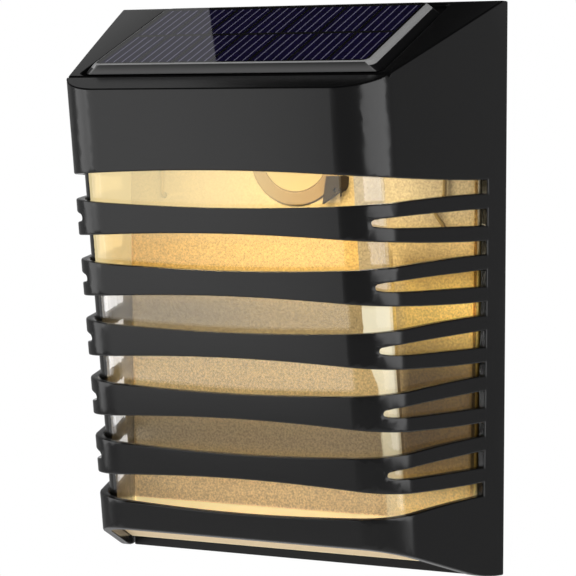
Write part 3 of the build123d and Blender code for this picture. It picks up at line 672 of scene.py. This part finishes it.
def panel_layer(name, finish, normal, low, high, clear):
    """Layer of the panel: clear or dark on top, frosted sides, and a front with painted shade that pales
    downwards.
    """
    material, tree, surface = new_material(name)
    if clear:
        top = clear_shader(tree, 0.02, one_sided=True)[2]
    else:
        board = principled(tree)
        weave = grained(tree, board, 0.4, MOULD_GRAIN, 0.02)
        woven = mottled(tree, weave, finish.laminate, 0.7)
        tree.links.new(woven, board.inputs["Base Color"])
        top = board.outputs["BSDF"]
    place, _ = object_place(tree)
    lift = ramp(tree, dot(tree, place, normal), low, high)
    # Painted shade: the front is darker towards the top and paler downwards
    front = mixed_colour(tree, lift, dimmed(finish.frost, 0.5), dimmed(finish.frost, 0.06))
    on_front = math_node(tree, "GREATER_THAN", face_along(tree, (0, -normal.z, normal.y)), PANEL_FRONT)
    rim = principled(tree)
    fine = grained(tree, rim, 0.3, RESIN_GRAIN, 0.05)
    frosted = mottled(tree, fine, finish.frost, 0.75)
    sides = frosted if clear else finish.laminate
    tree.links.new(mixed_colour(tree, on_front, sides, front), rim.inputs["Base Color"])
    leaning = math_node(tree, "LESS_THAN", face_along(tree, normal), PANEL_TOP)
    tree.links.new(joined(tree, leaning, top, rim.outputs["BSDF"]), surface)
    return material


def ripples(tree, height, pitch, crest):
    """Broad ripples up the height, 1 on a crest and 0 between two."""
    turn = math_node(tree, "MULTIPLY_ADD", height, math.tau / pitch, -math.tau * crest / pitch)
    return math_node(tree, "MULTIPLY_ADD", math_node(tree, "COSINE", turn), 0.5, 0.5)


def rippled_film(name, finish):
    """Metallised film with fine sparkle and ripples, painted shade in its hollows and near the lamps,
    painted light at its ends and right end, a browner fold on the right and a painted glow on the fold's
    foot and lower edge.
    """
    material, tree, surface = new_material(name)
    shader = principled(tree, emission_color=finish.painted_glow)
    sparkle = grained(tree, shader, 0.4, FILM_GRAIN, 0.35)
    _, axes = object_place(tree)

    # Ripples of the flat part: painted shade in the hollows between the film's gold crests, plain above the
    # uppermost crest
    upper = ramp(tree, axes["Z"], finish.crest_height - CREST_BLEND, finish.crest_height + CREST_BLEND)
    crest = ripples(tree, axes["Z"], finish.ripple, finish.crest_height)
    crest = math_node(tree, "MAXIMUM", crest, upper)
    warm = product(tree, ramp(tree, axes["X"], *WARM_REACH), ramp(tree, axes["Z"], *WARM_RISE))
    hollow = mixed_colour(tree, warm, finish.hollow_shade_gold, finish.warm_hollow_shade)
    front = mixed_colour(tree, crest, hollow, finish.gold)

    # Fold, with sharper crests and painted shade in the hollows between them
    fold_crest = ripples(tree, axes["Z"], finish.fold_ripple, finish.fold_crest)
    fold_crest = math_node(tree, "POWER", fold_crest, FOLD_SHARPNESS)
    brown = mixed_colour(tree, fold_crest, finish.fold_hollow_shade, finish.bronze)
    fold = ramp(tree, axes["X"], finish.fold_start, finish.fold_start + FOLD_BLEND)
    folded = product(tree, fold, math_node(tree, "SUBTRACT", 1.0, upper))
    tone = mixed_colour(tree, folded, front, brown)

    # Painted light at the upper and lower ends
    foot = ramp(tree, axes["Z"], *[finish.film_foot + rise for rise in FOOT_BLEND], 1.0, 0.0)
    lit_fold = product(tree, foot, folded)
    plain_foot = math_node(tree, "SUBTRACT", foot, lit_fold)
    ends = math_node(tree, "MAXIMUM", plain_foot, ramp(tree, axes["Z"], *TOP_RISE))
    tone = mixed_colour(tree, ends, tone, finish.painted_end_light)

    # Sparkle, with painted shade by the lamps and painted light at the right end
    level = math_node(tree, "MULTIPLY_ADD", sparkle, *SPARKLE)
    level = product(tree, level, ramp(tree, axes["Z"], *LAMP_SHADE_RISE, 1.0, LAMP_SHADE_LEVEL))
    level = product(tree, level, ramp(tree, axes["X"], *RIGHT_LIGHT_REACH, 1.0, RIGHT_LIGHT_LEVEL))
    grain = node(tree, "ShaderNodeVectorMath", operation="SCALE")
    tree.links.new(tone, grain.inputs[0])
    tree.links.new(level, grain.inputs["Scale"])

    # Painted glow of the lower edge and of the fold near its foot, standing in for the lamps' light
    bright_edge = ramp(tree, axes["Z"], finish.film_foot, finish.film_foot + EDGE_BLEND, 1.0, 0.0)
    gilt_and_glow = mixed_colour(tree, bright_edge, grain.outputs["Vector"], finish.painted_glow)
    tree.links.new(gilt_and_glow, shader.inputs["Base Color"])
    shine = math_node(tree, "MULTIPLY_ADD", lit_fold, FOLD_SHINE, product(tree, bright_edge, EDGE_SHINE))
    tree.links.new(shine, shader.inputs["Emission Strength"])
    tree.links.new(shader.outputs["BSDF"], surface)
    return material


def lined_silicon(name, finish):
    """Dark silicon with fine printed lines up the slope, alike on every column of cells."""
    material, tree, surface = new_material(name)
    shader = principled(tree, specular_ior_level=0.05)
    fine = grained(tree, shader, 0.35, SILICON_GRAIN, 0.0)
    _, axes = object_place(tree)
    half_column = finish.column_pitch / 2
    across = math_node(tree, "WRAP", axes["X"], half_column, -half_column)
    from_middle = math_node(tree, "PINGPONG", across, finish.line_pitch / 2)
    line_edge = (finish.line_pitch - finish.line_width) / 2
    on_line = math_node(tree, "GREATER_THAN", from_middle, line_edge)
    silicon = mottled(tree, fine, finish.silicon, 0.6)
    tree.links.new(mixed_colour(tree, on_line, silicon, finish.line_grey), shader.inputs["Base Color"])
    tree.links.new(shader.outputs["BSDF"], surface)
    return material


def lit_phosphor(name, colour, strength):
    """Phosphor of a small lamp that is on."""
    material, tree, surface = new_material(name)
    shader = principled(tree, emission_strength=strength)
    fine = grained(tree, shader, 0.4, MOULD_GRAIN, 0.05)
    warm = [colour[0], colour[1] * 0.8, colour[2] * 0.6, 1]
    glow = mixed_colour(tree, fine, warm, colour)
    tree.links.new(glow, shader.inputs["Base Color"])
    tree.links.new(glow, shader.inputs["Emission Color"])
    tree.links.new(shader.outputs["BSDF"], surface)
    return material


def metal(name, colour, roughness):
    """Plated metal with fine scratches."""
    material, tree, surface = new_material(name)
    shader = principled(tree, base_color=colour, roughness=roughness, metallic=1.0)
    roughen(tree, shader, noise(tree, SCRATCHES, 4.0), 0.08)
    tree.links.new(shader.outputs["BSDF"], surface)
    return material


# Pieces


class WALLLIGHT_OT_housing(bpy.types.Operator):
    """Rounds the housing's moulded edges and gives it its charcoal finish"""

    bl_idname = "wall_light.housing"
    bl_label = "Housing"

    def execute(self, context):
        finish, _ = settings()
        housing = softened_copy("front_housing", "housing_shell", finish.edge_radius)
        plastic = moulded_plastic("charcoal_abs", finish.charcoal, 0.21, specular=0.4)
        dress(housing, plastic)
        return {"FINISHED"}


class WALLLIGHT_OT_rear_cover(bpy.types.Operator):
    """Rounds the back cover's edges and gives it its finish"""

    bl_idname = "wall_light.rear_cover"
    bl_label = "Rear cover"

    def execute(self, context):
        finish, _ = settings()
        plastic = moulded_plastic("cover_abs", finish.cover_black, 0.42)
        for name in ("tray", "battery_holder", "switch_body"):
            dress(frame["nodes"][name], plastic)
        cover = softened_copy("rear_cover", "back_cover", finish.cover_radius)
        film_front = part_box("reflector")[0].y
        two_tone = two_tone_plastic("cover_two_tone", finish.cover_black, finish.boss_tan, film_front)
        dress(cover, two_tone)
        return {"FINISHED"}


class WALLLIGHT_OT_lens(bpy.types.Operator):
    """Clear finish of the lens"""

    bl_idname = "wall_light.lens"
    bl_label = "Lens"

    def execute(self, context):
        finish, _ = settings()
        dress(frame["nodes"]["lens"], tinted_lens("lens_clear", finish, *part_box("lens")))
        return {"FINISHED"}


class WALLLIGHT_OT_reflector(bpy.types.Operator):
    """Grainy gold film of the reflector and of the lens's seal in front of it"""

    bl_idname = "wall_light.reflector"
    bl_label = "Reflector"

    def execute(self, context):
        finish, _ = settings()
        film = rippled_film("gold_film", finish)
        for name in ("reflector", "lens_seal"):
            dress(frame["nodes"][name], film)
        return {"FINISHED"}


class WALLLIGHT_OT_solar_panel(bpy.types.Operator):
    """Cells, board and clear cover of the solar panel"""

    bl_idname = "wall_light.solar_panel"
    bl_label = "Solar panel"

    def execute(self, context):
        finish, _ = settings()
        cells, normal = raised_copy("solar_cells", "cell_faces", finish.cell_lift)
        dress(cells, lined_silicon("cell_silicon", finish))
        board, cover = frame["nodes"]["solar_board"], frame["nodes"]["solar_cover"]
        lifts = [corner.co.dot(normal) for piece in (board, cover) for corner in piece.data.vertices]
        dress(board, panel_layer("panel_laminate", finish, normal, min(lifts), max(lifts), clear=False))
        dress(cover, panel_layer("panel_resin", finish, normal, min(lifts), max(lifts), clear=True))
        return {"FINISHED"}


class WALLLIGHT_OT_inside(bpy.types.Operator):
    """Finishes of the switch, boards, cell, leads and screws"""

    bl_idname = "wall_light.inside"
    bl_label = "Inside pieces"

    def execute(self, context):
        rubber = moulded_plastic("black_rubber", (0.012, 0.012, 0.012, 1), 0.7)
        button = moulded_plastic("button_grey", (0.06, 0.06, 0.062, 1), 0.5)
        green = moulded_plastic("solder_resist", (0.02, 0.15, 0.05, 1), 0.35)
        epoxy = moulded_plastic("moulded_epoxy", (0.015, 0.015, 0.016, 1), 0.5)
        cap = moulded_plastic("cap_cream", (0.38, 0.31, 0.18, 1), 0.3)
        brown = moulded_plastic("clip_brown", (0.012, 0.007, 0.001, 1), 0.6, specular=0.05)
        sleeve = moulded_plastic("lead_sleeve", (0.25, 0.17, 0.05, 1), 0.45)
        cell = moulded_plastic("cell_sleeve", (0.03, 0.1, 0.25, 1), 0.3)
        phosphor = lit_phosphor("led_phosphor", (0.9, 0.75, 0.35, 1), 2.0)
        steel = metal("plated_steel", (0.6, 0.6, 0.58, 1), 0.3)
        can = metal("can_aluminium", (0.7, 0.7, 0.72, 1), 0.25)
        for material, names in (
            (rubber, ("panel_pad", "button_seal")),
            (button, ("switch_button",)),
            (green, ("control_board", "led_board")),
            (epoxy, ("control_chip", "inductor")),
            (cap, ("switch_cap",)),
            (brown, ("switch_clip",)),
            (sleeve, ("panel_leads", "battery_leads", "led_leads")),
            (sleeve, ("switch_lead_right", "switch_lead_left")),
            (cell, ("battery_cell",)),
            (phosphor, ("leds",)),
            (steel, ("case_screws", "tray_screws", "board_screws", "battery_spring", "battery_contact")),
            (can, ("capacitor",)),
        ):
            for name in names:
                dress(frame["nodes"][name], material)
        return {"FINISHED"}


# Studio


def area_lamp(name, place, aim, size, power, colour, roll):
    """Soft rectangular lamp that faces a point; roll turns it in its own plane, in degrees."""
    deselect()
    bpy.ops.object.light_add(type="AREA", location=place)
    lamp = bpy.context.active_object
    lamp.name = name
    lamp.data.shape = "RECTANGLE"
    lamp.data.size, lamp.data.size_y = size
    lamp.data.energy = power
    lamp.data.color = colour
    lamp.visible_camera = False
    lamp.rotation_mode = "QUATERNION"
    facing = (Vector(aim) - Vector(place)).to_track_quat("-Z", "Y")
    lamp.rotation_quaternion = facing @ Quaternion((0, 0, 1), math.radians(roll))


def white_world(backdrop):
    """White backdrop, in a grey studio with a dark ceiling that shows in reflections and in the lens."""
    world = bpy.data.worlds.new("studio")
    bpy.context.scene.world = world
    world.use_nodes = True
    tree = world.node_tree
    tree.nodes.clear()
    output = node(tree, "ShaderNodeOutputWorld")
    background = node(tree, "ShaderNodeBackground", color=WHITE)
    direction = node(tree, "ShaderNodeTexCoord").outputs["Generated"]
    split = node(tree, "ShaderNodeSeparateXYZ")
    tree.links.new(direction, split.inputs["Vector"])
    wall = ramp(tree, dot(tree, direction, backdrop), *BACKDROP)
    mirrored = ramp(tree, split.outputs["Z"], *CEILING, *MIRRORED_ROOM)
    level = FILL
    for kind, far in (("Is Glossy Ray", mirrored), ("Is Transmission Ray", LENS_SURROUND)):
        studio = math_node(tree, "MAXIMUM", wall, far)
        unlike = math_node(tree, "SUBTRACT", studio, level)
        level = math_node(tree, "MULTIPLY_ADD", unlike, seen_rays(tree, kind), level)
    seen = seen_rays(tree, "Is Camera Ray")
    tree.links.new(math_node(tree, "MAXIMUM", level, seen), background.inputs["Strength"])
    tree.links.new(background.outputs["Background"], output.inputs["Surface"])


def floor_finish(radius):
    """Pale floor that keeps the light's shadow and fades out into the white studio."""
    material, tree, surface = new_material("floor_pale")
    shader = principled(
        tree, base_color=FLOOR_GREY, roughness=0.9, specular_ior_level=0.0, emission_color=WHITE
    )
    seen = seen_rays(tree, "Is Camera Ray", "Is Glossy Ray", "Is Transmission Ray")
    tree.links.new(product(tree, seen, FLOOR_SHINE), shader.inputs["Emission Strength"])
    place, _ = object_place(tree)
    reach = node(tree, "ShaderNodeVectorMath", operation="LENGTH")
    tree.links.new(place, reach.inputs[0])
    fade = ramp(tree, reach.outputs["Value"], *[radius * share for share in FLOOR_FADE])
    clear = node(tree, "ShaderNodeBsdfTransparent")
    tree.links.new(joined(tree, fade, shader.outputs["BSDF"], clear.outputs["BSDF"]), surface)
    return material


class WALLLIGHT_OT_stage(bpy.types.Operator):
    """Floor, soft lamps, lamp behind the louvres and camera"""

    bl_idname = "wall_light.stage"
    bl_label = "Stage"

    def execute(self, context):
        _, stage = settings()
        white_world((Vector(stage.aim) - Vector(stage.eye)).normalized())
        deselect()
        low = cad_box[0].z - stage.floor_drop
        bpy.ops.mesh.primitive_circle_add(
            vertices=64, radius=stage.floor_radius, fill_type="NGON", location=(0, 0, low)
        )
        floor = context.active_object
        floor.name = "floor"
        dress(floor, floor_finish(stage.floor_radius))
        white = WHITE[:3]
        leds = (0, (leds_low.y + leds_high.y) / 2, leds_low.z - LED_CLEARANCE)
        for name, place, aim, size, power, colour, roll in (
            ("left_softbox", (-0.63, -0.75, -0.04), (-0.63, 0, -0.04), (0.73, 0.68), 2.22, white, 0),
            ("right_softbox", (0.85, -0.28, -0.05), (0, -0.28, -0.05), (1.05, 0.5), 4.4, white, 0),
            ("left_strip", (-0.95, -0.5, -0.05), (0, -0.5, -0.05), (0.75, 0.6), 2.9, white, 0),
            ("back_window", (-0.805, 0.9, 0.802), (-0.805, 0, 0.802), (0.4, 0.6), 0.22, white, -12.5),
            ("led_glow", leds, (0, -0.015, -0.05), (0.07, 0.008), 0.05, (1, 0.9, 0.68), 0),
        ):
            area_lamp(name, place, aim, size, power, colour, roll)
        bpy.ops.object.camera_add(location=stage.eye)
        camera = context.active_object
        camera.name = "camera"
        camera.rotation_mode = "QUATERNION"
        camera.rotation_quaternion = (Vector(stage.aim) - Vector(stage.eye)).to_track_quat("-Z", "Y")
        camera.data.lens = stage.focal_length
        camera.data.clip_start = 0.01
        context.scene.camera = camera
        context.scene.view_settings.view_transform = "Standard"
        return {"FINISHED"}


class WALLLIGHT_PT_panel(bpy.types.Panel):
    """Lists the light's pieces and settings"""

    bl_idname = "WALLLIGHT_PT_panel"
    bl_label = "Solar wall light"
    bl_space_type = "VIEW_3D"
    bl_region_type = "UI"
    bl_category = "Wall Light"

    def draw(self, context):
        for operator in OPERATORS:
            self.layout.operator(operator.bl_idname)
        for group in settings():
            for key in group.__annotations__:
                self.layout.prop(group, key)


OPERATORS = (
    WALLLIGHT_OT_housing,
    WALLLIGHT_OT_rear_cover,
    WALLLIGHT_OT_lens,
    WALLLIGHT_OT_reflector,
    WALLLIGHT_OT_solar_panel,
    WALLLIGHT_OT_inside,
    WALLLIGHT_OT_stage,
)
CLASSES = (WallLightFinish, WallLightStage, *OPERATORS, WALLLIGHT_PT_panel)


def register():
    for cls in CLASSES:
        bpy.utils.register_class(cls)
    bpy.types.Scene.wall_light_finish = bpy.props.PointerProperty(type=WallLightFinish)
    bpy.types.Scene.wall_light_stage = bpy.props.PointerProperty(type=WallLightStage)


def unregister():
    del bpy.types.Scene.wall_light_stage
    del bpy.types.Scene.wall_light_finish
    for cls in reversed(CLASSES):
        bpy.utils.unregister_class(cls)


def main():
    register()
    bpy.ops.wall_light.housing()
    bpy.ops.wall_light.rear_cover()
    bpy.ops.wall_light.lens()
    bpy.ops.wall_light.reflector()
    bpy.ops.wall_light.solar_panel()
    bpy.ops.wall_light.inside()
    bpy.ops.wall_light.stage()


if __name__ == "__main__":
    main()
